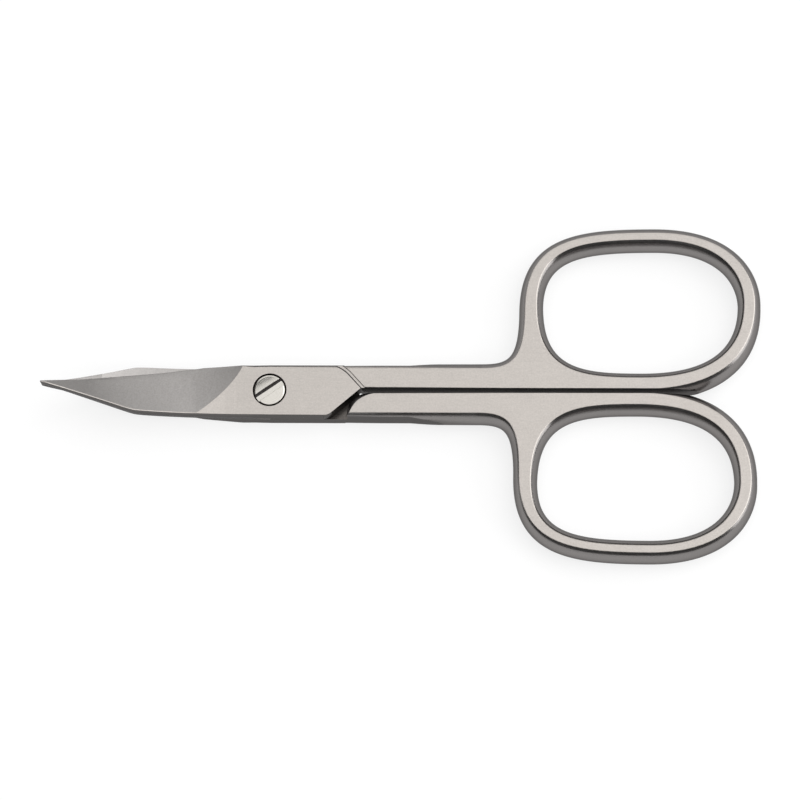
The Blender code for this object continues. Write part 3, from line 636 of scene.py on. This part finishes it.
class HalfShape:
    """One half's geometry in its own frame: inner face near z = 0, ring at +y, spine at -y."""

    def __init__(self, scissors, way_up, setback, tooth_depth):
        self.stock = scissors.stock
        self.shank = scissors.shank
        self.ring = scissors.ring
        self.blade = scissors.blade
        self.joint = scissors.joint
        self.way_up = way_up
        self.setback = setback
        self.mid = self.stock.thickness / 2
        self.lap_face = self.stock.blade_gap / 2
        self.tooth_depth = tooth_depth

    def handle_knots(self):
        """The flat's edge round the shank and ring, and the ring's hole."""
        ring = self.ring
        shank = self.shank
        left = ring.hole_left - self.setback
        right = left + ring.hole_length
        near = ring.hole_near
        far = near + ring.hole_width
        foot = left + ring.foot
        crest = left + ring.crest
        level = ring.centre_line
        hole = oval_knots(left, right, near, far, foot, crest, level, HOLE_FULLNESS)
        left -= ring.flat_left
        right += ring.flat_right
        near -= ring.flat_near
        far += ring.flat_far
        oval = oval_knots(left, right, near, far, foot, crest, level, RING_FULLNESS)
        web_start = shank.web_start - self.setback
        web_end = level - shank.web_end
        outside = [
            ((shank.start, shank.inner),) * 3,
            ((shank.start, shank.outer),) * 3,
            ((web_start, shank.outer),
             (web_start, shank.outer),
             (web_start + shank.web_at_shank * (left - web_start), shank.outer)),
            ((left, web_end),
             (left, web_end - shank.web_at_ring * (web_end - shank.outer)),
             oval[0][2]),
        ] + oval[1:]
        return outside, hole

    def wall_moves(self, points):
        """At each point of the line: the way out to its left, and how far its side bulges."""
        moves = []
        for before, here, after in zip(points[-1:] + points[:-1], points, points[1:] + points[:1]):
            into = Vector(here) - Vector(before)
            out_of = Vector(after) - Vector(here)
            normal_in = Vector((-into.y, into.x)).normalized()
            normal_out = Vector((-out_of.y, out_of.x)).normalized()
            mitre = (normal_in + normal_out).normalized()
            reach = (self.stock.end_bulge
                     + (self.stock.side_bulge - self.stock.end_bulge) * abs(mitre.y))
            moves.append((mitre / mitre.dot(normal_in), reach))
        return moves

    def wall_rows(self):
        """Rows of the side from bottom to top: (share of the bulge, inset, height)."""
        edge = self.stock.flat_edge
        reach = 1 - edge / self.mid
        rows = []
        for step in range(SIDE_ROWS + 1):
            level = reach * (2 * step / SIDE_ROWS - 1)
            rows.append((1 - level ** 2, 0.0, level * self.mid))
        softened = [(0.0, inset * edge, self.mid - drop * edge) for inset, drop in SOFT_EDGE]
        return [(share, inset, -height) for share, inset, height in softened[::-1]] + rows + softened

    def handle(self, name, materials):
        """Loft the handle between its two flats through sides that bulge in an arc."""
        outside, hole = self.handle_knots()
        shape = bmesh.new()
        rims = []
        for points in (along_knots(outside), along_knots(hole)[::-1]):
            moves = self.wall_moves(points)
            loops = []
            for share, inset, height in self.wall_rows():
                loops.append([shape.verts.new((x + (share * reach - inset) * way.x,
                                               y + (share * reach - inset) * way.y, height))
                              for (x, y), (way, reach) in zip(points, moves)])
            bands = list(zip(loops, loops[1:]))
            for band, (low, high) in enumerate(bands):
                beside_flat = min(band, len(bands) - 1 - band) < self.stock.satin_bands
                bridge(shape, low, high, [FLAT if beside_flat else SIDE] * len(points))
            rims.append((loops[0], loops[-1]))
        for side in (0, 1):
            edges = []
            for rim in rims:
                loop = rim[side]
                edges += [shape.edges.get((loop[index - 1], loop[index])) for index in range(len(loop))]
            filled = bmesh.ops.triangle_fill(shape, edges=edges, use_beauty=True, use_dissolve=False)
            for face in filled["geom"]:
                if isinstance(face, bmesh.types.BMFace):
                    face.material_index = FLAT
        return object_from_bmesh(name, shape, materials)

    def spine_line(self, along):
        """The spine's distance from the middle line, at a distance from the screw."""
        blade = self.blade
        half_width = self.joint.half_width
        to_corner = half_width - (half_width - blade.spine_at_corner) * along / blade.corner
        taper = (blade.spine_at_corner - blade.tip_half_width) / (blade.length - blade.corner)
        t = (along - blade.corner) / (blade.length - blade.corner)
        to_tip = (blade.tip_half_width + taper * (blade.length - along)
                  - 4 * blade.spine_hollow * t * (1 - t))
        apart = to_corner - to_tip
        return (to_corner + to_tip - math.sqrt(apart ** 2 + blade.corner_softness ** 2)) / 2

    def edge_line(self, along):
        """The cutting edge's distance from the middle line."""
        blade = self.blade
        half_width = self.joint.half_width
        if along <= blade.edge_start:
            return half_width - (half_width - blade.edge_at_start) * max(along, 0.0) / blade.edge_start
        t = (along - blade.edge_start) / (blade.length - blade.edge_start)
        bow = 4 * blade.edge_belly * t * (1 - t)
        return blade.edge_at_start * (1 - t) + blade.tip_half_width * t + bow

    def land_edge(self, along):
        """Where the narrow flat along the spine ends, from the middle line."""
        spine = self.spine_line(along)
        widest = 2 * WIDEST_LAND * (spine + self.edge_line(along))
        return min(self.stock.spine_break + self.blade.land, widest) - spine

    def grind_line(self, along):
        """Where the ground face rises to the outer flat's level: an arc to the spine, and past it."""
        blade = self.blade
        start = (blade.grind_start, self.joint.half_width - self.stock.plate_break - blade.land)
        end = (blade.grind_end, self.land_edge(blade.grind_end))
        pull = (blade.grind_start + blade.arc_along * (blade.grind_end - blade.grind_start),
                blade.arc_across)
        if along <= blade.grind_start:
            return start[1]
        if along >= blade.grind_end:
            steepness = (pull[1] - end[1]) / (end[0] - pull[0])
            past = along - blade.grind_end
            return self.land_edge(along) - steepness * past * math.exp(-past / blade.levelling)
        a = start[0] - 2 * pull[0] + end[0]
        b = 2 * (pull[0] - start[0])
        c = start[0] - along
        t = (-b + math.sqrt(b * b - 4 * a * c)) / (2 * a)
        return start[1] * (1 - t) ** 2 + 2 * pull[1] * t * (1 - t) + end[1] * t ** 2

    def ground_share(self, along):
        """How far the grinding has thinned the cutting edge, from nothing to 1."""
        run = self.blade.grind_full - self.blade.grind_start
        t = min(1.0, max(0.0, (along - self.blade.grind_start) / run))
        return t * (3 - t ** 2) / 2

    def far_break(self, along):
        """The broken edge on the plate's ring side, narrowing to the cutting edge's."""
        stock = self.stock
        faded = min(1.0, max(0.0, (along - stock.fade_start) / stock.fade))
        return stock.plate_break + (stock.edge_break - stock.plate_break) * faded

    def spine_height(self, along):
        """The blade's thickness at its spine."""
        blade = self.blade
        full = self.mid - self.lap_face
        taper = max(0.0, (along - blade.corner) / (blade.length - blade.corner))
        return full - (full - blade.tip_thickness) * taper ** blade.taper_power

    def blade_section(self, along, tooth):
        """One section across the blade as (y, z, slot of the face after it), spine to cutting edge."""
        blade = self.blade
        spine = self.spine_line(along)
        edge = self.edge_line(along)
        widest_land = WIDEST_LAND * (spine + edge)
        spine_break = min(self.stock.spine_break, widest_land)
        far_break = min(self.far_break(along), widest_land)
        outer = self.lap_face + self.spine_height(along)
        line = self.grind_line(along)
        ground_from = max(line, self.land_edge(along))
        ground_to = edge - far_break
        steel_to_grind = outer - self.lap_face - blade.edge_thickness
        share_ground = self.ground_share(along)
        slope = min(blade.steepest, share_ground * steel_to_grind / (ground_to - line))
        top = outer - slope * (ground_from - line)
        across = ground_to - ground_from
        points = [(-spine, self.lap_face, WALL), (-spine, top - spine_break, WALL),
                  (-spine + EDGE_MIDDLE * spine_break, top - EDGE_MIDDLE * spine_break, WALL),
                  (-spine + spine_break, top, FLAT), (ground_from, top, GRIND)]
        deepest = blade.hollow * share_ground
        for step in range(1, GRIND_STEPS):
            share = step / GRIND_STEPS
            sag = deepest * 4 * share * (1 - share) * across / (2 * self.joint.half_width)
            points.append((ground_from + share * across, top - share * slope * across - sag, GRIND))
        edge_height = top - slope * across
        points += [(ground_to, edge_height, WALL), (edge - tooth, edge_height - far_break, WALL),
                   (edge - tooth, self.lap_face, GRIND)]
        return points

    def blade_stations(self):
        """Distances from the screw at which the blade is sectioned, two to each tooth."""
        start = self.stock.fade_start
        count = round(2 * (self.blade.length - start) / self.blade.tooth_pitch)
        run = self.blade.length - start
        sections = [start + run * step / count for step in range(count + 1)]
        return [-self.joint.end - OVERCUT, 0.0] + sections

    def tooth_at(self, station, along):
        """How far a serrated edge is cut back at a station."""
        serrated = self.blade.edge_start < along < self.blade.length - self.blade.tooth_pitch
        return self.tooth_depth * (station % 2) if serrated else 0.0

    def rise(self, along):
        """How far the blade has curved up."""
        return self.way_up * max(0.0, along - self.blade.curve_start) ** 2 / (2 * self.blade.radius)

    def plate_and_blade(self, name, materials):
        """The joint plate and blade, lofted through their sections."""
        shape = bmesh.new()
        loops = []
        slots = []
        stations = self.blade_stations()
        for station, along in enumerate(stations):
            lift = self.rise(along)
            section = self.blade_section(along, self.tooth_at(station, along))
            slots.append([slot for _, _, slot in section])
            loops.append([shape.verts.new((-along, y, z + lift)) for y, z, _ in section])
        for station, (near, far) in enumerate(zip(loops, loops[1:])):
            plain = stations[station + 1] <= self.blade.grind_start
            band = [FLAT if plain and slot == GRIND else slot for slot in slots[station]]
            # The lap face under the plate gets the cuts' near-black painted shade.
            if station == 0:
                band[-1] = CUT
            bridge(shape, near, far, band)
        for loop in (loops[0], loops[-1]):
            shape.faces.new(loop).material_index = WALL
        return object_from_bmesh(name, shape, materials)

    def plate_end_line(self):
        """The plate's pointed end, from its heel to its point."""
        joint = self.joint
        heel = (joint.heel, -joint.half_width)
        point = (joint.end, self.shank.inner)
        return rounded_corner((0.0, -joint.half_width), heel, point, joint.heel_round) + [point]

    def plate_end_cut(self, materials):
        """What trims the plate to its pointed end."""
        beyond = self.joint.half_width + OVERCUT
        past = self.joint.end + 2 * OVERCUT
        points = self.plate_end_line()
        start = points[0][0]
        points += [(self.shank.start, self.shank.outer), (self.shank.start, beyond),
                   (past, beyond), (past, -beyond), (start, -beyond)]
        return extruded("plate end", points, -self.mid, self.mid + OVERCUT, materials, WALL)

    def start_cut(self, materials):
        """What trims the shank where the plate takes over, and leaves the shoulder under it."""
        shank = self.shank
        outer = Vector((shank.start, shank.outer))
        inner = Vector((self.joint.end, shank.inner))
        run = (inner - outer).normalized()
        overlap = Vector((run.y, -run.x)) * shank.overlap
        outer += overlap
        inner += overlap + run * OVERCUT
        beyond = self.ring.centre_line
        points = [(outer.x, beyond), tuple(outer), tuple(inner), (0.0, inner.y), (0.0, beyond)]
        tall = 2 * self.mid
        cut = extruded("shank start", points, -tall, tall, materials, CUT)
        shoulder = self.shoulder_line(self.joint.shoulder_round)
        far_corner = (shoulder[-1][0], shoulder[0][1])
        apart = CUTS_APART * shank.overlap
        kept = [(x + apart, y + apart) for x, y in shoulder + [far_corner]]
        under = self.lap_face + SHOULDER_OVERLAP * shank.overlap
        combine(cut, extruded("shoulder", kept, -2 * tall, under, materials, CUT), "DIFFERENCE")
        return cut

    def shoulder_line(self, rounding):
        """Where the shank's full thickness starts, with its corner rounded to that radius."""
        joint = self.joint
        level = self.shank.gap / 2 - joint.shoulder_run_out
        outer_side = (joint.shoulder_start, joint.half_width + 2 * OVERCUT)
        beside_shank = (joint.shoulder_start + joint.end, level)
        corner = (joint.shoulder_start, level)
        return [outer_side] + rounded_corner(outer_side, corner, beside_shank, rounding) + [beside_shank]

    def lap_cut(self, materials):
        """What takes the lower layer away for the other half's plate, up to the bevelled shoulder."""
        joint = self.joint
        layers = []
        at_lap = joint.shoulder_round
        at_flat = joint.shoulder_edge_round
        for rounding, height in ((at_flat, -self.mid - OVERCUT),
                                 (at_flat, -self.mid - self.stock.cut_edge),
                                 (at_lap, joint.shoulder_bevel - self.mid), (at_lap, self.lap_face)):
            line = self.shoulder_line(rounding)
            near = -joint.half_width
            layers.append(([(0.0, line[0][1])] + line + [(line[-1][0], near), (0.0, near)], height))
        return stacked("lap", layers, materials, [CUT, SIDE, CUT])

    def inner_side_cut(self, materials):
        """What grinds shank and ring flat on the side that faces the other shank."""
        reach = self.ring.hole_left + self.ring.hole_length
        level = self.shank.gap / 2
        beyond = level - 2 * OVERCUT
        points = [(0.0, level), (reach, level), (reach, beyond), (0.0, beyond)]
        tall = self.mid + OVERCUT
        return extruded("inner side", points, -tall, tall, materials, WALL)

    def outer_side_cut(self, materials):
        """What grinds the shank's outer side flat, level with the plate's at first."""
        shank = self.shank
        level = self.joint.half_width
        steep = self.stock.side_bulge - (shank.side - shank.outer)
        beyond = level + 2 * OVERCUT
        points = [(shank.start - OVERCUT, level), (shank.start, level),
                  (shank.start + shank.side_blend, shank.side),
                  (shank.web_start - 2 * shank.side_blend, shank.side),
                  (shank.web_start, shank.side + 2 * steep), (shank.web_start, beyond),
                  (shank.start - OVERCUT, beyond)]
        tall = self.mid + OVERCUT
        return extruded("outer side", points, -tall, tall, materials, WALL)

    def groove_cut(self, materials):
        """What grinds the shallow groove between joint face and shank: bevel, floor, steep side."""
        joint = self.joint
        half_width = joint.groove_width / 2
        floor = self.mid - joint.groove_depth
        above = self.mid + joint.groove_depth
        profile = [(-half_width - joint.groove_bevel, above), (joint.groove_bevel - half_width, floor),
                   (half_width - joint.groove_lean, floor), (half_width + joint.groove_lean, above)]
        beside = joint.half_width + joint.groove_side_offset
        along_side = (joint.groove_start, beside)
        bend = (joint.groove_bend, beside)
        end = (joint.end, self.shank.inner)
        run_out = (end[0] + OVERCUT,
                   end[1] + OVERCUT * (end[1] - bend[1]) / (end[0] - bend[0]))
        line = [along_side] + rounded_corner(along_side, bend, end, joint.groove_bend_round) + [run_out]
        return swept("groove", line, profile, materials, [WALL, FLAT, CUT, CUT])


def swept(name, line, profile, materials, slots):
    """A profile of (offset to the left, height) points, swept along a line of points."""
    shape = bmesh.new()
    loops = []
    for before, here, after in zip(line[:1] + line[:-1], line, line[1:] + line[-1:]):
        run = (Vector(after) - Vector(before)).normalized()
        loops.append([shape.verts.new((here[0] - run.y * offset, here[1] + run.x * offset, height))
                      for offset, height in profile])
    for near, far in zip(loops, loops[1:]):
        bridge(shape, near, far, slots)
    shape.faces.new(loops[0])
    shape.faces.new(loops[-1])
    return object_from_bmesh(name, shape, materials)


def soften(item, width):
    """Break the sharp edges a little, and shade flats flat and rounds round."""
    shape = bmesh.new()
    shape.from_mesh(item.data)
    bmesh.ops.remove_doubles(shape, verts=shape.verts, dist=WELD)
    bmesh.ops.dissolve_degenerate(shape, edges=shape.edges, dist=WELD)
    shape.to_mesh(item.data)
    shape.free()
    bevel = item.modifiers.new("edges", "BEVEL")
    bevel.limit_method = "ANGLE"
    bevel.angle_limit = math.radians(SOFTENED_FROM)
    bevel.width = width
    bevel.segments = 2
    bevel.use_clamp_overlap = False
    bevel.miter_outer = "MITER_ARC"
    apply_modifiers(item)
    shape = bmesh.new()
    shape.from_mesh(item.data)
    bmesh.ops.remove_doubles(shape, verts=shape.verts, dist=CLEAN)
    bmesh.ops.dissolve_degenerate(shape, edges=shape.edges, dist=CLEAN)
    open_edges = [edge for edge in shape.edges if edge.is_boundary]
    bmesh.ops.holes_fill(shape, edges=open_edges, sides=8)
    shape.edges.index_update()
    grind_borders = [edge.index for edge in shape.edges
                     if {FLAT, GRIND} == {face.material_index for face in edge.link_faces}]
    shape.to_mesh(item.data)
    shape.free()
    item.data.shade_smooth()
    item.data.set_sharp_from_angle(angle=math.radians(SHARP_FROM))
    sharp = item.data.attributes["sharp_edge"].data
    for index in grind_borders:
        sharp[index].value = True
    for face in item.data.polygons:
        if face.material_index == FLAT and abs(face.normal.z) > LEVEL:
            face.use_smooth = False
    weighted = item.modifiers.new("normals", "WEIGHTED_NORMAL")
    weighted.keep_sharp = True
    weighted.weight = 80


def keep_inside(item, node):
    """Hold the softened corners to the node's own box."""
    low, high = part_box(node)
    for vertex in item.data.vertices:
        for axis in range(3):
            vertex.co[axis] = min(max(vertex.co[axis], low[axis]), high[axis])


def build_half(name, shape, screw, head_recess):
    """One half in its own frame: handle, joint plate and blade joined, then grooved and bored."""
    materials = half_materials(bpy.context.scene.nail_scissors.steel)
    half = shape.handle(name, materials)
    for cut in (shape.start_cut(materials), shape.lap_cut(materials), shape.inner_side_cut(materials),
                shape.outer_side_cut(materials)):
        combine(half, cut, "DIFFERENCE")
    blade = shape.plate_and_blade(f"{name} blade", materials)
    combine(blade, shape.plate_end_cut(materials), "DIFFERENCE")
    combine(half, blade, "UNION")
    combine(half, shape.groove_cut(materials), "DIFFERENCE")
    top = shape.mid + OVERCUT
    hole = bore("hole", screw.shaft_radius + screw.running_clearance, -shape.mid, top, materials)
    combine(half, hole, "DIFFERENCE")
    if head_recess:
        floor = shape.mid - screw.head_height - screw.running_clearance
        recess = bore("recess", screw.head_radius + screw.head_clearance, floor, top, materials)
        combine(half, recess, "DIFFERENCE")
    soften(half, shape.stock.cut_edge)
    return half


def stand_for(item, node, body):
    """Ride on the body in the place of its CAD node."""
    keep_inside(item, node)
    bpy.context.view_layer.update()
    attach(item, body)
    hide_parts(node)
    if not item.data.polygons:
        raise RuntimeError(f"{item.name} has no faces")


class NAILSCISSORS_OT_front_half(bpy.types.Operator):
    """Build the front half: lower blade, recessed joint plate, upper ring"""
    bl_idname = "nail_scissors.front_half"
    bl_label = "Front Half"

    def execute(self, context):
        scissors = context.scene.nail_scissors
        half = build_half("front half", HalfShape(scissors, 1, 0.0, scissors.blade.tooth_depth),
                          scissors.screw, True)
        half.name = "front_half_steel"
        half.data.transform(Matrix.Translation((0.0, 0.0, scissors.stock.thickness / 2)))
        stand_for(half, "front_half", "front")
        return {"FINISHED"}


class NAILSCISSORS_OT_back_half(bpy.types.Operator):
    """Build the back half: upper blade, tapped joint plate, lower ring"""
    bl_idname = "nail_scissors.back_half"
    bl_label = "Back Half"

    def execute(self, context):
        scissors = context.scene.nail_scissors
        shape = HalfShape(scissors, -1, scissors.ring.setback, 0.0)
        half = build_half("back half", shape, scissors.screw, False)
        half.name = "back_half_steel"
        turn = Matrix.Rotation(math.pi, 4, "X")
        half.data.transform(Matrix.Translation((0.0, 0.0, scissors.stock.thickness / 2)) @ turn)
        stand_for(half, "back_half", "back")
        return {"FINISHED"}


class NAILSCISSORS_OT_pivot_screw(bpy.types.Operator):
    """Turn the pivot screw and mill its slot"""
    bl_idname = "nail_scissors.pivot_screw"
    bl_label = "Pivot Screw"

    def execute(self, context):
        scissors = context.scene.nail_scissors
        screw = scissors.screw
        steel = scissors.steel
        material = turned_steel("turned steel", steel.screw_colour, steel.screw_roughness, steel.grain)
        top = scissors.stock.thickness
        under = top - screw.head_height
        domed = screw.head_radius - screw.dome
        edge_middle = EDGE_MIDDLE * screw.dome
        shares = [step / DOME_STEPS for step in range(DOME_STEPS + 1)]
        profile = [(share * domed, top + screw.dome * (1 - share ** 2)) for share in shares]
        profile += [
            (screw.head_radius - edge_middle, top - edge_middle),
            (screw.head_radius, top - screw.dome),
            (screw.head_radius, under),
            (screw.shaft_radius, under),
            (screw.shaft_radius, screw.end_break),
            (screw.shaft_radius - screw.end_break, 0.0),
            (0.0, 0.0),
        ]
        # The slot's side and the slope along its floor take the domed side faces' colour: painted shade
        # in the slot.
        walls_painted_shade = brushed_steel("slot walls", steel.side_steel_and_shade, steel.side_roughness, steel.grazing,
                              steel.grain, GRAIN_EVEN)
        materials = [material, walls_painted_shade]
        item = turned("pivot_screw_steel", profile, materials, 0)
        reach = screw.head_radius + OVERCUT / 2
        half_width = screw.slot_width / 2
        above = top + screw.head_height
        floor = top + screw.dome / 2 - screw.slot_depth
        profile = [(-half_width, above), (-half_width, floor), (half_width - screw.slot_bevel, floor),
                   (half_width, floor + screw.slot_bevel), (half_width, above)]
        slot = swept("slot", [(-reach, 0.0), (reach, 0.0)], profile, materials, [1, 0, 1, 1, 1])
        slot.data.transform(Matrix.Rotation(screw.slot_angle, 4, "Z"))
        combine(item, slot, "DIFFERENCE")
        soften(item, scissors.stock.cut_edge)
        stand_for(item, "pivot_screw", "back")
        return {"FINISHED"}


class NAILSCISSORS_OT_stage(bpy.types.Operator):
    """Lay the plain floor, hang the soft lights and set up the camera"""
    bl_idname = "nail_scissors.stage"
    bl_label = "Stage"

    def execute(self, context):
        scissors = context.scene.nail_scissors
        stage = scissors.stage
        self.floor(stage)
        self.room(context, stage)
        for name, level, azimuth, elevation, distance, size in PANELS:
            self.panel(name, azimuth, elevation, distance, size, getattr(stage, level))
        self.camera(context, stage, scissors.stock.thickness)
        return {"FINISHED"}

    def floor(self, stage):
        """A plain lit floor that shows nearly white to the camera and in reflections."""
        half = stage.floor_size / 2
        shape = bmesh.new()
        shape.faces.new([shape.verts.new((x, y, 0.0)) for x, y in
                         ((-half, -half), (half, -half), (half, half), (-half, half))])
        finish = Finish("plain floor")
        finish.feed(Base_Color=tuple(stage.floor_colour) + (1.0,), Roughness=0.9, Specular_IOR_Level=0.1)
        path = finish.node("ShaderNodeLightPath", {}, {})
        seen = (path["Is Camera Ray"] + path["Is Glossy Ray"] + path["Is Transmission Ray"]).clamped()
        white = finish.node("ShaderNodeEmission", {}, {"Strength": 1.0})["Emission"]
        lit = Wire(finish, finish.shader.outputs["BSDF"])
        share = seen * stage.floor_white
        mixed = finish.node("ShaderNodeMixShader", {}, {"Fac": share, 1: lit, 2: white})
        finish.join(finish.nodes["Material Output"].inputs["Surface"], mixed["Shader"])
        floor = object_from_bmesh("floor", shape, [finish.material])

    def room(self, context, stage):
        """The same dim light from everywhere else."""
        world = bpy.data.worlds.new("plain room")
        world.use_nodes = True
        background = world.node_tree.nodes["Background"]
        background.inputs["Color"].default_value = (1.0, 1.0, 1.0, 1.0)
        background.inputs["Strength"].default_value = stage.room_level
        context.scene.world = world

    def panel(self, name, azimuth, elevation, distance, size, level):
        """A rectangular light of the given radiance that faces the scissors."""
        light = bpy.data.lights.new(name, "AREA")
        light.shape = "RECTANGLE"
        light.size, light.size_y = size
        light.energy = level * math.pi * size[0] * size[1]
        lamp = new_object(name, light)
        turn = math.radians(azimuth)
        tilt = math.radians(elevation)
        way = Vector((math.cos(tilt) * math.cos(turn), math.cos(tilt) * math.sin(turn), math.sin(tilt)))
        lamp.location = way * distance
        lamp.rotation_euler = way.to_track_quat("Z", "Y").to_euler()

    def camera(self, context, stage, height):
        """The camera, aimed at a point of the flats from the photograph's angle."""
        data = bpy.data.cameras.new("camera")
        data.sensor_width = 36.0
        data.lens = data.sensor_width * stage.camera_distance / stage.view_width
        data.clip_start = 0.01
        data.clip_end = 10.0
        camera = new_object("camera", data)
        away = Vector((math.tan(stage.lean_right), -math.tan(stage.lean_near), 1.0)).normalized()
        up = (Vector((0.0, 1.0, 0.0)) - away * away.y).normalized()
        facing = Matrix((up.cross(away), up, away)).transposed()
        camera.location = Vector((stage.aim_x, stage.aim_y, height)) + away * stage.camera_distance
        camera.rotation_euler = (facing @ Matrix.Rotation(stage.roll, 3, "Z")).to_euler()
        context.scene.camera = camera


class NAILSCISSORS_PT_panel(bpy.types.Panel):
    """Sizes, finishes and build steps of the nail scissors"""
    bl_label = "Nail Scissors"
    bl_idname = "NAILSCISSORS_PT_panel"
    bl_space_type = "VIEW_3D"
    bl_region_type = "UI"
    bl_category = "Nail Scissors"

    def draw(self, context):
        scissors = context.scene.nail_scissors
        for step in STEPS:
            self.layout.operator(step.bl_idname)
        for part in NailScissors.__annotations__:
            box = self.layout.box()
            box.label(text=part.capitalize())
            settings = getattr(scissors, part)
            for key in type(settings).__annotations__:
                box.prop(settings, key)


GROUPS = (StockSizes, ShankSizes, RingSizes, BladeSizes, JointSizes, ScrewSizes, SteelLooks, StageLooks,
          NailScissors)
STEPS = (NAILSCISSORS_OT_front_half, NAILSCISSORS_OT_back_half, NAILSCISSORS_OT_pivot_screw,
         NAILSCISSORS_OT_stage)
CLASSES = GROUPS + STEPS + (NAILSCISSORS_PT_panel,)


def register():
    for item in CLASSES:
        bpy.utils.register_class(item)
    bpy.types.Scene.nail_scissors = bpy.props.PointerProperty(type=NailScissors)


def unregister():
    del bpy.types.Scene.nail_scissors
    for item in reversed(CLASSES):
        bpy.utils.unregister_class(item)


def main():
    register()
    scene = bpy.context.scene
    scene.view_settings.view_transform = "Standard"
    bpy.ops.nail_scissors.front_half()
    bpy.ops.nail_scissors.back_half()
    bpy.ops.nail_scissors.pivot_screw()
    bpy.ops.nail_scissors.stage()
    bpy.context.view_layer.update()


if __name__ == "__main__":
    main()
